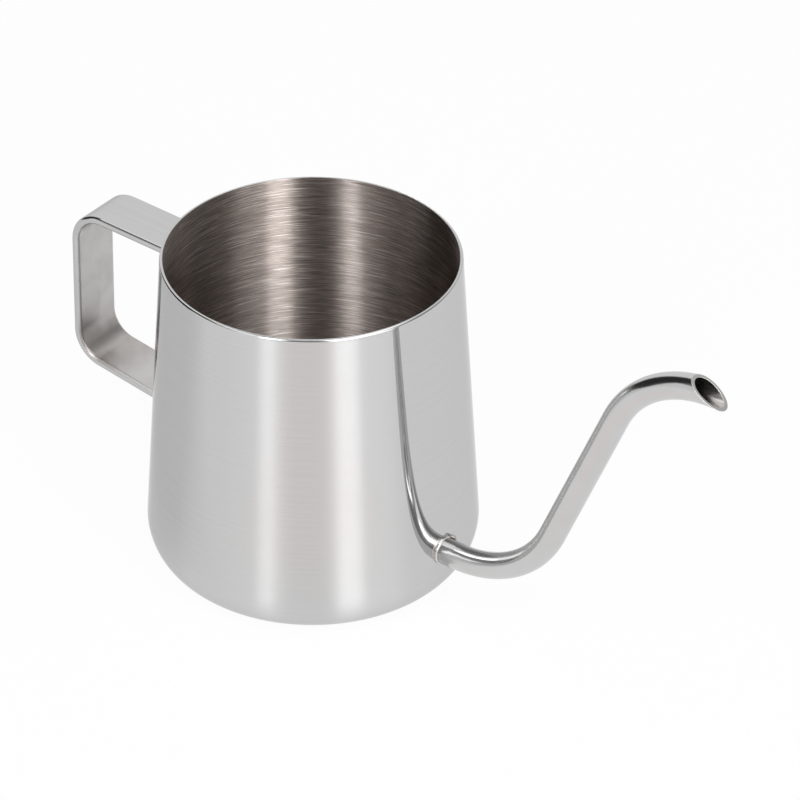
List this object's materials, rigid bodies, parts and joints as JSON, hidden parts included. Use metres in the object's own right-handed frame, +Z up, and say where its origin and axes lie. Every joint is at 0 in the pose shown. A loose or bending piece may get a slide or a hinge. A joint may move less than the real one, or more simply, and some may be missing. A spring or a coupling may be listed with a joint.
{
  "type": "gooseneck kettle",
  "caption": "Open stainless-steel gooseneck pot for pour-over coffee: a tapered drawn cup with a slim bent spout, slanted at its mouth, and a flat strap handle.",
  "frame": {"origin": "on the cup's axis, in the plane that the pot stands on", "axes": "+Z up along the cup's axis, +X towards the spout's mouth, -X towards the handle, +Y to the left of the spout"},
  "size_m": [0.1979, 0.0834, 0.1006],
  "materials": {
    "cup_steel": "satin polish outside, brushed round the inside",
    "tube_steel": "bright polish",
    "strap_steel": "satin polish with bright rounded edges",
    "weld_steel": "weld bead, dressed and polished"
  },
  "bodies": {
    "root": {"vessel_shell": "cup_steel", "spout_tube": "tube_steel", "spout_collar": "tube_steel", "spout_weld": "weld_steel", "handle_strap": "strap_steel", "handle_upper_weld": "weld_steel", "handle_lower_weld": "weld_steel"}
  },
  "joints": []
}
